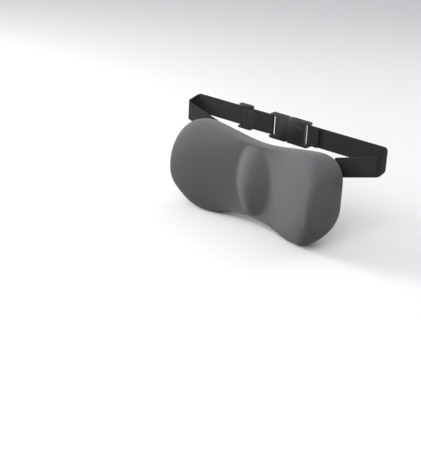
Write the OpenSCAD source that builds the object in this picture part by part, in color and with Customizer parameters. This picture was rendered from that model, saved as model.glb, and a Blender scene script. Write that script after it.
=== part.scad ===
// Lumbar support cushion: a moulded foam core in a liner and a zipped cover, held on a
// backrest by an elastic strap with a side-release buckle and a slide adjuster.
// X is the width, -Y faces the sitter, +Z is up. The origin is the middle of the flat back.

/* [Cushion] */
// Width, end to end
cushion_w = 346; // [336:1:360]
// Height of the two wings
wing_h = 178; // [170:1:195]
// Height of the waist in the middle
waist_h = 147; // [140:1:160]
// Thickness of the wings, back to front
wing_depth = 111; // [100:1:118]
// Thickness in the middle, under the spine ridge
middle_depth = 52; // [50:1:64]
// How far the spine ridge stands up in the middle
ridge_rise = 29; // [18:1:32]
// Half the width of the spine ridge
ridge_half_w = 39; // [30:1:46]
// Half the height of the spine ridge
ridge_half_h = 68; // [50:1:72]
// How sharply the ridge's sides meet the hollows beside it
ridge_power = 1.4; // [1.1:0.1:2]
// How softly the ridge fades at its top and bottom
ridge_end_power = 0.8; // [0.5:0.1:1.2]
// Distance from the back at which the cushion is tallest
tallest_depth = 60; // [45:1:64]
// How square the front is in side view
front_power = 2.2; // [2:0.1:3.4]
// Height of the rounding between the back and the top or bottom
back_round = 35; // [24:1:36]
// Distance from the middle at which the wings are full
wing_x = 150; // [130:1:156]

/* [Ends] */
// How much fuller a wing is below than above
low_full = 6; // [0:1:8]
// How much an end is drawn up below
low_tuck = 12; // [0:1:14]
// Length of the rounding of the top and bottom towards an end
end_reach = 48; // [35:1:60]
// How much lower an end face is than the wing, at top and bottom
end_drop = 38; // [12:1:40]
// Rounding between an end face and the front
end_front_round = 10; // [8:1:18]
// Rounding between an end face and the back
end_back_round = 22; // [14:1:28]
// Half the width of the flat back panels
back_flat_x = 137; // [130:1:140]

/* [Layers] */
// Thickness of the cover fabric
cover_t = 1.2; // [0.8:0.1:1.2]
// Depth of the liner's outer face below the cover's outer face
liner_at = 2.7; // [2.6:0.1:3]
// Thickness of the liner
liner_t = 0.5; // [0.4:0.1:0.6]
// Depth of the foam below the cover's outer face
foam_at = 3.3; // [3.2:0.1:3.8]

/* [Zip] */
// Height of the zip above the origin
zip_z = -20; // [-22:1:-18]
// Half the length of the zip
zip_half = 124; // [100:1:128]
// Width of the gap between the back panels
zip_gap = 12; // [12:0.5:14]
// Width of one zip tape
tape_w = 10; // [9:0.5:11]
// Length of the pull tab
pull_len = 26; // [20:1:30]

/* [Strap] */
// Width of the elastic
strap_w = 38; // [30:1:40]
// Thickness of the elastic
strap_t = 1.4; // [1:0.1:1.4]
// Distance from the middle to the outside of the strap, past the backrest's edge
strap_reach = 228; // [215:1:240]
// Height of the strap at the backrest's edge
strap_edge_z = 75; // [70:1:84]
// Rise of the strap for each millimetre outwards
strap_slope = 0.28; // [0.22:0.01:0.3]
// Radius of the strap's turn round the backrest's edge
strap_turn = 8; // [6:1:9]
// Height of the strap behind the backrest
rear_z = 84; // [80:1:90]
// Distance of the strap behind the cushion's back, past the backrest
rear_y = 30; // [28:1:44]

/* [Buckle] */
// Width of the buckle
buckle_w = 49; // [48:1:52]
// Thickness of the buckle
buckle_t = 11; // [11:0.5:12]
// Middle of the adjuster at rest
adjuster_x = -98; // [-110:1:-90]

/* [Hidden] */

$fn = 32;
half_w = cushion_w / 2;
eps = 0.01;

cover_colour = [0.42, 0.43, 0.43];
panel_colour = [0.2, 0.2, 0.21];
foam_colour = [0.9, 0.87, 0.75];
liner_colour = [0.85, 0.85, 0.83];
black = [0.07, 0.07, 0.07];

// ---- shape of the cushion ----

function ease(u) = let (s = min(1, max(0, u))) s * s * (3 - 2 * s);

// 0 where the rounding of a given length starts, 1 at the end face
function round_in(x, reach) =
    let (q = max(0, (abs(x) - half_w + reach) / reach)) 1 - sqrt(max(0, 1 - min(1, q) * min(1, q)));

function half_h(x) =
    waist_h / 2 + (wing_h - waist_h) / 2 * ease(abs(x) / wing_x) - end_drop * round_in(x, end_reach);

// Height below the middle: fuller under the wings, drawn up at the ends
low_full_x = 86;
low_full_reach = 30;
low_tuck_x = 118;

function low_h(x) =
    half_h(x) + low_full * exp(-pow((abs(x) - low_full_x) / low_full_reach, 2))
    - low_tuck * ease((abs(x) - low_tuck_x) / (half_w - low_tuck_x));

// How far the front has risen from the waist (0) to the wings (1); it keeps rising up to the ends
flank_end = half_w - end_front_round;
flank_curve = 0.35;
flank_share = 0.6;

function steady(u) =
    (sqrt(u * u + flank_curve * flank_curve) - flank_curve)
    / (sqrt(1 + flank_curve * flank_curve) - flank_curve);

function flank(x) =
    (1 - flank_share) * ease(abs(x) / wing_x) + flank_share * steady(min(1, abs(x) / flank_end));

function front_depth(x) =
    middle_depth + (wing_depth - middle_depth) * flank(x)
    - end_front_round * round_in(x, end_front_round);

function back_depth(x) = end_back_round * round_in(x, half_w - back_flat_x);

// Half the height of the flat back
function flat_h(x) = half_h(x) - back_round;

function ridge(x, z) =
    let (s = pow(max(0, 1 - pow(z / ridge_half_h, 2)), ridge_end_power))
    ridge_rise * s * pow(max(0, 1 - pow(x / (ridge_half_w * (0.4 + 0.6 * s)), 2)), ridge_power);

// Stations along the width: closer near the middle and near the ends
mid_count = 10;
end_count = 6;
last = mid_count + end_count;
flat_first = end_count;
flat_last = last + mid_count;

function station(k, inset) =
    abs(k) <= mid_count
        ? sign(k) * back_flat_x * pow(abs(k) / mid_count, 1.5)
        : sign(k) * (back_flat_x + (half_w - inset - back_flat_x) * sin(90 * (abs(k) - mid_count) / end_count));

// The same station on the outer face, whose shape the layers below follow
function outer_x(k) = station(k, 0);

// One ring, from the lower edge of the flat back round the front to its upper edge
back_steps = 5;
front_steps = 20;
ring_count = 2 * back_steps + front_steps + 1;

function front_point(x, h, depth, a) =
    let (
        z = h * sign(a) * pow(abs(sin(a)), 2 / front_power),
        f = pow(max(0, cos(a)), 2 / front_power)
    )
    [tallest_depth + (depth - tallest_depth) * f + ridge(x, z) * min(1, 2 * f), z];

function back_point(h, flat, start, a) =
    [start + (tallest_depth - start) * (1 - sin(a)), flat + (h - flat) * cos(a)];

function section(x, inset) =
    let (
        top = half_h(x) - inset,
        low = low_h(x) - inset,
        flat = flat_h(x),
        start = back_depth(x) + inset,
        depth = front_depth(x) - inset
    )
    concat(
        [for (i = [0 : back_steps - 1])
            let (p = back_point(low, flat, start, 90 - 90 * i / back_steps)) [p[0], -p[1]]],
        [for (i = [0 : front_steps])
            let (a = -90 + 180 * i / front_steps) front_point(x, a < 0 ? low : top, depth, a)],
        [for (i = [back_steps - 1 : -1 : 0]) back_point(top, flat, start, 90 - 90 * i / back_steps)]
    );

function layer_points(inset) =
    [for (k = [-last : last])
        let (x = station(k, inset), s = section(outer_x(k), inset))
        for (p = s) [x, -p[0], p[1]]];

ring_total = 2 * last + 1;

// Two triangles of one cell of a layer; turned = true faces it the other way
function cell(i, j, base, turned) =
    let (
        n = ring_count,
        a = base + i * n + j,
        b = base + i * n + (j + 1) % n,
        c = a + n,
        d = b + n
    )
    turned ? [[a, b, d], [a, d, c]] : [[a, d, b], [a, c, d]];

// Every cell of a layer; open = true leaves out the flat back
function layer_faces(base, turned, open) =
    [for (i = [0 : ring_total - 2], j = [0 : ring_count - 1])
        if (!(open && j == ring_count - 1 && i >= flat_first && i < flat_last))
            for (f = cell(i, j, base, turned)) f];

function cap_faces(base, turned) =
    let (
        low = [for (j = [0 : ring_count - 1]) base + j],
        high = [for (j = [ring_count - 1 : -1 : 0]) base + (ring_total - 1) * ring_count + j]
    )
    turned ? [[for (j = [ring_count - 1 : -1 : 0]) low[j]], [for (j = [ring_count - 1 : -1 : 0]) high[j]]]
           : [low, high];

// Edge between the two faces of an open layer, round the flat back
function rim_loop(base) =
    concat(
        [for (i = [flat_first : flat_last]) base + i * ring_count],
        [for (i = [flat_last : -1 : flat_first]) base + i * ring_count + ring_count - 1]
    );

function rim_faces(shift) =
    let (r = rim_loop(0), n = len(r))
    [for (i = [0 : n - 1])
        let (a = r[i], b = r[(i + 1) % n])
        for (f = [[a, b + shift, b], [a, a + shift, b + shift]]) f];

module solid_layer(inset) {
    polyhedron(layer_points(inset), concat(layer_faces(0, false, false), cap_faces(0, false)));
}

module open_layer(outer, inner) {
    shift = ring_total * ring_count;
    polyhedron(
        concat(layer_points(outer), layer_points(inner)),
        concat(
            layer_faces(0, false, true), cap_faces(0, false),
            layer_faces(shift, true, true), cap_faces(shift, true),
            rim_faces(shift)
        )
    );
}

// ---- foam, liner and cover ----

function flat_edge(from, to, side) =
    [for (k = [from : sign(to - from) : to]) [outer_x(k), side * flat_h(outer_x(k))]];

// A flat sheet in the back, between two depths below the back face
module back_sheet(outline, outer, inner) {
    translate([0, -outer, 0])
        rotate([90, 0, 0])
            linear_extrude(inner - outer)
                polygon(outline);
}

module foam_core() {
    color(foam_colour) solid_layer(foam_at);
}

module liner_front() {
    color(liner_colour) open_layer(liner_at, liner_at + liner_t);
}

module liner_back() {
    color(liner_colour)
        back_sheet(
            concat(flat_edge(-mid_count, mid_count, 1), flat_edge(mid_count, -mid_count, -1)),
            liner_at, liner_at + liner_t
        );
}

module cover_front() {
    color(cover_colour) open_layer(0, cover_t);
}

// The panels meet on the zip's line past its two ends
zip_step = zip_half + 4;

module back_panel_upper() {
    color(panel_colour)
        back_sheet(
            concat(
                flat_edge(-mid_count, mid_count, 1),
                [
                    [back_flat_x, zip_z + eps], [zip_step, zip_z + eps],
                    [zip_step, zip_z + zip_gap / 2], [-zip_step, zip_z + zip_gap / 2],
                    [-zip_step, zip_z + eps], [-back_flat_x, zip_z + eps]
                ]
            ),
            0, cover_t
        );
}

module back_panel_lower() {
    color(panel_colour)
        back_sheet(
            concat(
                flat_edge(mid_count, -mid_count, -1),
                [
                    [-back_flat_x, zip_z - eps], [-zip_step, zip_z - eps],
                    [-zip_step, zip_z - zip_gap / 2], [zip_step, zip_z - zip_gap / 2],
                    [zip_step, zip_z - eps], [back_flat_x, zip_z - eps]
                ]
            ),
            0, cover_t
        );
}

// ---- zip ----

tape_t = 0.6;
tape_y = -cover_t - 0.1;
coil_r = 0.85;
coil_off = 1.25;
coil_y = tape_y + coil_r;
slider_len = 11;
slider_w = 8.4;
plate_t = 0.9;
plate_gap = 0.25;
slider_x = zip_half - slider_len / 2 - 1;
outer_plate_y = coil_y + coil_r + plate_gap;
inner_plate_y = tape_y - tape_t - 0.15;
bail_r = 0.8;
barrel_r = 1.7;
bail_y = outer_plate_y + plate_t + barrel_r + 0.25;

module zipper_tape(side) {
    color(black)
        translate([-zip_step + 0.5, tape_y - tape_t, zip_z + (side > 0 ? 0.35 : -0.35 - tape_w)])
            cube([2 * zip_step - 1, tape_t, tape_w]);
}

module zipper_coil(side) {
    color(black)
        translate([-zip_half, coil_y, zip_z + side * coil_off])
            rotate([0, 90, 0])
                cylinder(r = coil_r, h = 2 * zip_half - 2);
}

module zipper_tape_upper() zipper_tape(1);
module zipper_tape_lower() zipper_tape(-1);
module zipper_coil_upper() zipper_coil(1);
module zipper_coil_lower() zipper_coil(-1);

module zipper_stop(x) {
    color("silver")
        translate([x - 1, tape_y, zip_z - 2.6])
            cube([2, 1.9, 5.2]);
}

module zipper_stop_left() zipper_stop(-zip_half - 1.4);
module zipper_stop_right() zipper_stop(zip_half + 0.6);

// Two plates joined by the thin wedge that parts the two coils
module zipper_slider() {
    wedge_t = 0.5;
    color("silver")
        translate([slider_x, 0, zip_z]) {
            translate([-slider_len / 2, outer_plate_y, -slider_w / 2])
                cube([slider_len, plate_t, slider_w]);
            translate([-slider_len / 2, inner_plate_y - plate_t * 0.6, -slider_w / 2])
                cube([slider_len, plate_t * 0.6, slider_w]);
            translate([-slider_len / 2, inner_plate_y - eps, -wedge_t / 2])
                cube([3, outer_plate_y - inner_plate_y + 2 * eps, wedge_t]);
            // bail that holds the pull tab
            for (s = [-1, 1])
                translate([s * 3 - 0.8, outer_plate_y + plate_t - eps, -1.4])
                    cube([1.6, bail_y - outer_plate_y - plate_t + bail_r + 0.6, 2.8]);
            translate([-3, bail_y, 0])
                rotate([0, 90, 0])
                    cylinder(r = bail_r, h = 6);
        }
}

// Hangs from the bail, with a bore that turns on it
module zipper_pull() {
    tab_w = 4;
    color("silver")
        translate([slider_x, bail_y, zip_z])
            difference() {
                union() {
                    rotate([0, 90, 0])
                        translate([0, 0, -tab_w / 2])
                            cylinder(r = barrel_r, h = tab_w);
                    translate([-tab_w / 2, -0.7, -7])
                        cube([tab_w, 1.4, 7]);
                    translate([-4, -0.7, -pull_len])
                        cube([8, 1.4, pull_len - 6]);
                }
                rotate([0, 90, 0])
                    translate([0, 0, -tab_w])
                        cylinder(r = bail_r + 0.06, h = 2 * tab_w);
                translate([0, 0, -pull_len + 4.5])
                    rotate([90, 0, 0])
                        cylinder(r = 1.6, h = 8, center = true);
            }
}

// ---- strap ----

seam_x = back_flat_x + 0.4;
seam_y = -cover_t / 2;
front_y = strap_t / 2 + 0.25;
loop_r = 1.9;
loop_y = rear_y - loop_r;
return_y = rear_y - 2 * loop_r;
plug_bar_x = -30;
receptacle_bar_x = 54;
sewn_len = 24;
turn_x = strap_reach - strap_t / 2 - strap_turn;

function run_z(x) = strap_edge_z - strap_slope * (strap_reach - x);

// Path of a strap for the +X side: from the side seam that holds its end, past the
// backrest's edge and on to a bar behind it; each point is x, y, z
function strap_route(bar_x) =
    concat(
        [[seam_x, seam_y, run_z(seam_x)]],
        [for (x = [144, 160, 180, 200]) [x, front_y, run_z(x)]],
        [for (i = [0 : 4])
            let (a = -90 + 90 * i / 4)
            [turn_x + strap_turn * cos(a), front_y + strap_turn * (1 + sin(a)), run_z(turn_x + i * 2)]],
        [for (i = [0 : 4])
            let (a = 90 * i / 4)
            [turn_x + strap_turn * cos(a), rear_y - strap_turn * (1 - sin(a)),
                strap_edge_z + (rear_z - strap_edge_z) * (i + 2) / 6]],
        [for (x = [turn_x - 30, turn_x - 80, bar_x + 20, bar_x]) [x, rear_y, rear_z]],
        [for (i = [1 : 6])
            let (a = 90 + 180 * i / 6)
            [bar_x + loop_r * cos(a), loop_y + loop_r * sin(a), rear_z]]
    );

function flat_dir(a, b) = let (d = [b[0] - a[0], b[1] - a[1]]) d / norm(d);

// Rings of a band of upright width along a route; each ring is four points
function band_points(route, width, thick) =
    let (n = len(route))
    [for (i = [0 : n - 1])
        let (
            p = route[i],
            d = flat_dir(route[max(0, i - 1)], route[min(n - 1, i + 1)]),
            u = [-d[1], d[0]] * thick / 2
        )
        for (c = [[1, 1], [1, -1], [-1, -1], [-1, 1]])
            [p[0] + c[0] * u[0], p[1] + c[0] * u[1], p[2] + c[1] * width / 2]];

function band_faces(n) =
    concat(
        [[0, 1, 2, 3], [for (j = [3 : -1 : 0]) 4 * (n - 1) + j]],
        [for (i = [0 : n - 2], j = [0 : 3])
            let (a = 4 * i + j, b = 4 * i + (j + 1) % 4)
            for (f = [[a, a + 4, b + 4], [a, b + 4, b]]) f]
    );

module band(route, width, thick) {
    polyhedron(band_points(route, width, thick), band_faces(len(route)));
}

function mirrored(route) = [for (p = route) [-p[0], p[1], p[2]]];
function backwards(route) = [for (i = [len(route) - 1 : -1 : 0]) route[i]];

module strap_right() {
    color(black)
        band(
            concat(
                strap_route(receptacle_bar_x),
                [[receptacle_bar_x + 6, return_y, rear_z], [receptacle_bar_x + sewn_len, return_y, rear_z]]
            ),
            strap_w, strap_t
        );
}

module strap_left() {
    color(black)
        band(backwards(mirrored(strap_route(-plug_bar_x))), strap_w, strap_t);
}

adjuster_bar_y = return_y - 0.3;
under_y = adjuster_bar_y - loop_r;

// The strap's doubled-back run, from the plug's bar to the sewn loop on the adjuster's bar
module strap_left_return() {
    start = plug_bar_x - 0.1;
    color(black)
        band(
            concat(
                [[start, return_y, rear_z], [start - 6, return_y, rear_z]],
                [[adjuster_x + 28, under_y, rear_z], [adjuster_x, under_y, rear_z]],
                [for (i = [1 : 6])
                    let (a = -90 - 180 * i / 6)
                    [adjuster_x + loop_r * cos(a), adjuster_bar_y + loop_r * sin(a), rear_z]],
                [for (x = [8, 24]) [adjuster_x + x, under_y + strap_t + 0.1, rear_z]]
            ),
            strap_w, strap_t
        );
}

// ---- adjuster and buckle ----

frame_w = strap_w + 10;

// Rectangular slide: two end bars outside the strap, one middle bar inside it
module strap_adjuster() {
    bar_r = loop_r - strap_t / 2 - 0.1;
    outer_y = rear_y + strap_t / 2 + 0.3;
    cheek_in = strap_w / 2 + 0.6;
    color(black)
        translate([adjuster_x, 0, rear_z]) {
            for (s = [-1, 1]) {
                translate([-15, adjuster_bar_y - bar_r, s > 0 ? cheek_in : -frame_w / 2])
                    cube([30, outer_y + 2.6 - adjuster_bar_y + bar_r, frame_w / 2 - cheek_in]);
                translate([s * 12.5 - 2.5, outer_y, -cheek_in - 1])
                    cube([5, 2.6, 2 * cheek_in + 2]);
            }
            translate([0, adjuster_bar_y, -cheek_in - 1])
                cylinder(r = bar_r, h = 2 * cheek_in + 2);
        }
}

mouth_x = 8;
bar_r = loop_r - strap_t / 2 - 0.05;
cavity_w = 40;
cavity_t = 7.4;
window_x0 = 23;
window_x1 = 36;
prong_t = 5.6;
prong_pin_x = 3;
prong_pin_z = 13;
prong_pin_r = 2;

module rounded_plate(x0, x1, w, r, t) {
    translate([0, t / 2, 0])
        rotate([90, 0, 0])
            linear_extrude(t)
                hull()
                    for (x = [x0 + r, x1 - r], z = [-w / 2 + r, w / 2 - r])
                        translate([x, z]) circle(r, $fn = 24);
}

// Socket half: hollow, open towards the plug, with a window in each side and a strap bar
module buckle_receptacle() {
    end_wall = receptacle_bar_x - 10;
    color(black)
        translate([0, loop_y, rear_z]) {
            difference() {
                rounded_plate(mouth_x, receptacle_bar_x + 4, buckle_w, 4, buckle_t);
                translate([mouth_x - 5, -cavity_t / 2, -cavity_w / 2])
                    cube([end_wall - mouth_x + 5, cavity_t, cavity_w]);
                translate([window_x0, -cavity_t / 2, -buckle_w])
                    cube([window_x1 - window_x0, cavity_t, 2 * buckle_w]);
                translate([end_wall + 2, -buckle_t, -strap_w / 2 - 0.8])
                    cube([receptacle_bar_x - end_wall + 2.01, 2 * buckle_t, strap_w + 1.6]);
            }
            translate([receptacle_bar_x, 0, -strap_w / 2 - 1.8])
                cylinder(r = bar_r, h = strap_w + 3.6);
        }
}

// Plug half: shoulder, middle tongue, two hinge ears and a strap bar
module buckle_plug() {
    shoulder_x = -21;
    color(black)
        translate([0, loop_y, rear_z]) {
            difference() {
                union() {
                    rounded_plate(plug_bar_x - 4, mouth_x - 0.4, buckle_w, 4, buckle_t);
                    translate([-2, -2.2, -4])
                        cube([38, 4.4, 8]);
                }
                translate([plug_bar_x - 4.5, -buckle_t, -strap_w / 2 - 0.8])
                    cube([shoulder_x - plug_bar_x + 4.5, 2 * buckle_t, strap_w + 1.6]);
                for (s = [-1, 1])
                    translate([prong_pin_x - 4, -prong_t / 2 - 0.15, s * prong_pin_z - 5.2])
                        cube([20, prong_t + 0.3, 10.4]);
            }
            translate([plug_bar_x, 0, -strap_w / 2 - 1.8])
                cylinder(r = bar_r, h = strap_w + 3.6);
            for (s = [-1, 1])
                translate([prong_pin_x, buckle_t / 2 - 0.5, s * prong_pin_z])
                    rotate([90, 0, 0])
                        cylinder(r = prong_pin_r - 0.06, h = buckle_t - 1);
        }
}

// One sprung arm: turns on the plug's pin, its barb stands in the socket's window
module prong(side) {
    barb_x = window_x0 + 0.5;
    color(black)
        translate([0, loop_y, rear_z])
            scale([1, 1, side])
                difference() {
                    translate([0, prong_t / 2, 0])
                        rotate([90, 0, 0])
                            linear_extrude(prong_t)
                                union() {
                                    translate([prong_pin_x, prong_pin_z]) circle(3.6);
                                    polygon([
                                        [prong_pin_x, prong_pin_z - 3.4], [prong_pin_x + 8, prong_pin_z - 1.5],
                                        [34, 13], [35, 15], [34.5, 20.5], [33, 22.6], [27, 23.6],
                                        [barb_x, 23.6], [barb_x, 17.6], [prong_pin_x + 8, prong_pin_z + 3.4],
                                        [prong_pin_x, prong_pin_z + 3.5]
                                    ]);
                                }
                    translate([prong_pin_x, prong_t, prong_pin_z])
                        rotate([90, 0, 0])
                            cylinder(r = prong_pin_r, h = 2 * prong_t);
                }
}

module buckle_prong_upper() prong(1);
module buckle_prong_lower() mirror([0, 0, 1]) translate([0, 0, -2 * rear_z]) prong(1);

// ---- stitching ----

thread_t = 0.35;

// A sewn box: four short lines of thread lying on the band
module box_stitch(x, y, z, len_x, len_z) {
    color([0.15, 0.15, 0.15])
        translate([x, y, z]) {
            for (s = [-1, 1]) {
                translate([-len_x / 2, 0, s * len_z / 2 - thread_t])
                    cube([len_x, thread_t, 2 * thread_t]);
                translate([s * len_x / 2 - thread_t, 0, -len_z / 2])
                    cube([2 * thread_t, thread_t, len_z]);
            }
        }
}

module stitch_loop_right() {
    box_stitch(receptacle_bar_x + 15, rear_y + strap_t / 2 + 0.02, rear_z, 14, strap_w - 8);
}

module stitch_loop_left() {
    box_stitch(adjuster_x + 16, under_y - strap_t / 2 - thread_t - 0.02, rear_z, 10, strap_w - 8);
}

// Two rows of thread that hold a strap's end to the side seam
module anchor_stitch(side) {
    row_h = strap_w - 8;
    color([0.15, 0.15, 0.15])
        for (x = [back_flat_x + 10, back_flat_x + 14])
            translate([side * x - thread_t, front_y + strap_t / 2 + 0.02, run_z(x) - row_h / 2])
                cube([2 * thread_t, thread_t, row_h]);
}

module stitch_anchor_left() anchor_stitch(-1);
module stitch_anchor_right() anchor_stitch(1);

foam_core();
liner_front();
liner_back();
cover_front();
back_panel_upper();
back_panel_lower();
zipper_tape_upper();
zipper_tape_lower();
zipper_coil_upper();
zipper_coil_lower();
zipper_stop_left();
zipper_stop_right();
zipper_slider();
zipper_pull();
strap_left();
strap_left_return();
strap_right();
strap_adjuster();
buckle_receptacle();
buckle_plug();
buckle_prong_upper();
buckle_prong_lower();
stitch_anchor_left();
stitch_anchor_right();
stitch_loop_left();
stitch_loop_right();
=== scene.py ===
import math

import bmesh
import bpy
import numpy as np
from mathutils import Matrix, Vector


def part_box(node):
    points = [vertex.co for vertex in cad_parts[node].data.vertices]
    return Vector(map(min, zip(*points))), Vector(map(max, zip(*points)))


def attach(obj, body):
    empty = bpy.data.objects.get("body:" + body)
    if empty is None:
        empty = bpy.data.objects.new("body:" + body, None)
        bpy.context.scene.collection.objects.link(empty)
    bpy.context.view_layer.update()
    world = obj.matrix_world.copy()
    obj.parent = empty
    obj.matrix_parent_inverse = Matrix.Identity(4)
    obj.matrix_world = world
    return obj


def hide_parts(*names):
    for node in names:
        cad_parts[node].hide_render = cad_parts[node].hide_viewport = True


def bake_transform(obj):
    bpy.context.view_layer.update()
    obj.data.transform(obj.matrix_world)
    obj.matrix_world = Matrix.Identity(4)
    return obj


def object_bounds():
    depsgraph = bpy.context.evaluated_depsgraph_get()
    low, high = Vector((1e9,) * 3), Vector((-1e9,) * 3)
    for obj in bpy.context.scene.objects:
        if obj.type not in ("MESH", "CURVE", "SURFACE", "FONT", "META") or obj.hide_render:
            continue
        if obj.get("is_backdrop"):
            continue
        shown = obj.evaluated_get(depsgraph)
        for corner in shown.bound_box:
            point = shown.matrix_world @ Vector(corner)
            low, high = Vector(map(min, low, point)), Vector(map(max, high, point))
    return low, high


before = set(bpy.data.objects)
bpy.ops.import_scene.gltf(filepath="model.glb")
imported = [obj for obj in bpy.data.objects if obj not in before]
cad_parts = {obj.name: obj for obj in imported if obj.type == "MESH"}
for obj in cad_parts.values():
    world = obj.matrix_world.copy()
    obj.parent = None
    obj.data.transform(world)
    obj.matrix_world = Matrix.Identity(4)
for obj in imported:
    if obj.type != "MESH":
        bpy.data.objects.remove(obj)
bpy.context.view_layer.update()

# Lumbar support cushion: X is its width, -Y faces the sitter, Z is up, all in metres.
scene = bpy.context.scene


# camera and light

cameraSettings = {
    "azimuth": 41.2,
    "elevation": 22.8,
    "roll": 2.9,
    "distance": 1.887,
    "target": Vector((0.0, -0.05, 0.0)),
    "targetRight": 0.0839,  # how far right of the view's middle the target sits
    "targetUp": 0.0893,
    "lens": 80.37,
}


def makeCamera(s):
    azimuth, elevation = math.radians(s["azimuth"]), math.radians(s["elevation"])
    back = Vector((
        math.sin(azimuth) * math.cos(elevation),
        -math.cos(azimuth) * math.cos(elevation),
        math.sin(elevation),
    ))
    level = Vector((0, 0, 1)).cross(back).normalized()
    upright = back.cross(level)
    roll = math.radians(s["roll"])
    right = level * math.cos(roll) + upright * math.sin(roll)
    up = upright * math.cos(roll) - level * math.sin(roll)
    data = bpy.data.cameras.new("camera")
    data.lens = s["lens"]
    data.clip_start, data.clip_end = 0.05, 60
    camera = bpy.data.objects.new("camera", data)
    scene.collection.objects.link(camera)
    place = s["target"] + back * s["distance"] - right * s["targetRight"] - up * s["targetUp"]
    turn = Matrix((right, up, back)).transposed()
    camera.matrix_world = Matrix.Translation(place) @ turn.to_4x4()
    scene.camera = camera


makeCamera(cameraSettings)

lightSettings = {
    "key": {"place": (-1.8, -0.9, 0.8), "size": 1.1, "power": 39},
    "fill": {"place": (0.75, -1.7, 1.35), "size": 1.8, "power": 29},
    "rim": {"place": (0.4, 1.5, 1.2), "size": 1.2, "power": 8},
    "skyHigh": (0.56, 0.57, 0.59),
    "skyLow": (0.075, 0.075, 0.08),
}


def makeAreaLight(name, s):
    data = bpy.data.lights.new(name, "AREA")
    data.shape = "DISK"
    data.size = s["size"]
    data.energy = s["power"]
    light = bpy.data.objects.new(name, data)
    scene.collection.objects.link(light)
    light.location = s["place"]
    aim = Vector((0, -0.05, 0)) - Vector(s["place"])
    light.rotation_euler = aim.to_track_quat("-Z", "Y").to_euler()


for lightName in ("key", "fill", "rim"):
    makeAreaLight(lightName + "Light", lightSettings[lightName])

world = bpy.data.worlds.new("studio")
scene.world = world
world.use_nodes = True
scene.view_settings.view_transform = "Standard"


# helpers for node trees and meshes

def addNode(tree, kind, inputs=None, **options):
    node = tree.nodes.new(kind)
    for key, value in options.items():
        setattr(node, key, value)
    for key, value in (inputs or {}).items():
        if isinstance(value, bpy.types.NodeSocket):
            tree.links.new(value, node.inputs[key])
        else:
            node.inputs[key].default_value = value
    return node


def calc(tree, operation, *terms):
    inputs = {i: term for i, term in enumerate(terms)}
    return addNode(tree, "ShaderNodeMath", inputs, operation=operation).outputs[0]


def blendColours(tree, mask, first, second):
    # each colour is either a socket or three numbers
    pair = [c if isinstance(c, bpy.types.NodeSocket) else (*c, 1) for c in (first, second)]
    return addNode(tree, "ShaderNodeMix", {0: mask, 6: pair[0], 7: pair[1]}, data_type="RGBA").outputs[2]


def paintSky(tree):
    # pale above, dim below, so that the undersides stay dark
    direction = addNode(tree, "ShaderNodeTexCoord").outputs["Generated"]
    height = addNode(tree, "ShaderNodeSeparateXYZ", {0: direction}).outputs[2]
    share = addNode(tree, "ShaderNodeMapRange", {"Value": height, "From Min": -0.7, "From Max": 0.7},
                    interpolation_type="SMOOTHSTEP").outputs[0]
    colour = blendColours(tree, share, lightSettings["skyLow"], lightSettings["skyHigh"])
    tree.links.new(colour, tree.nodes["Background"].inputs["Color"])


paintSky(world.node_tree)
print("camera and light ready")


def newGroup(name, kind, inputs, outputs):
    group = bpy.data.node_groups.new(name, kind)
    for label, socketKind, value in inputs:
        socket = group.interface.new_socket(label, in_out="INPUT", socket_type=socketKind)
        if value is not None:
            socket.default_value = value
    for label, socketKind in outputs:
        group.interface.new_socket(label, in_out="OUTPUT", socket_type=socketKind)
    start = group.nodes.new("NodeGroupInput")
    end = group.nodes.new("NodeGroupOutput")
    return group, start.outputs, end.inputs


def meshPiece(name, points, faces=(), edges=()):
    mesh = bpy.data.meshes.new(name)
    mesh.from_pydata([tuple(map(float, p)) for p in points], list(edges), list(faces))
    piece = bpy.data.objects.new(name, mesh)
    scene.collection.objects.link(piece)
    return piece


def settle(piece, sharpAngle=None):
    # turns the modifiers' result into the piece's own plain mesh
    bpy.context.view_layer.update()
    evaluated = piece.evaluated_get(bpy.context.evaluated_depsgraph_get())
    mesh = bpy.data.meshes.new_from_object(evaluated)
    piece.modifiers.clear()
    piece.data = mesh
    mesh.polygons.foreach_set("use_smooth", [True] * len(mesh.polygons))
    if sharpAngle is not None:
        mesh.set_sharp_from_angle(angle=math.radians(sharpAngle))
    return piece


def faceOutwards(piece):
    shape = bmesh.new()
    shape.from_mesh(piece.data)
    bmesh.ops.recalc_face_normals(shape, faces=shape.faces)
    shape.to_mesh(piece.data)
    shape.free()
    return piece


def gridFaces(columns, rows, flip):
    # four-sided faces of a grid whose points run column by column
    faces = []
    for i in range(columns - 1):
        for j in range(rows - 1):
            a = i * rows + j
            cell = (a, a + 1, a + rows + 1, a + rows)
            faces.append(cell[::-1] if flip else cell)
    return faces


def setClothMap(piece, corners):
    layer = piece.data.uv_layers.new(name="cloth")
    layer.data.foreach_set("uv", np.array(corners, dtype=np.float32).ravel())


def thicken(piece, thickness):
    # gives a sheet its thickness, on its inner side
    modifier = piece.modifiers.new("thickness", "SOLIDIFY")
    modifier.thickness = thickness
    modifier.offset = -1


def coat(piece, material):
    piece.data.materials.clear()
    piece.data.materials.append(material)
    return piece


def finishPiece(piece, slotName, nodes=(), body="cushion"):
    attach(piece, body)
    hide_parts(*nodes)
    return piece


# shader groups shared by the materials

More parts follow.
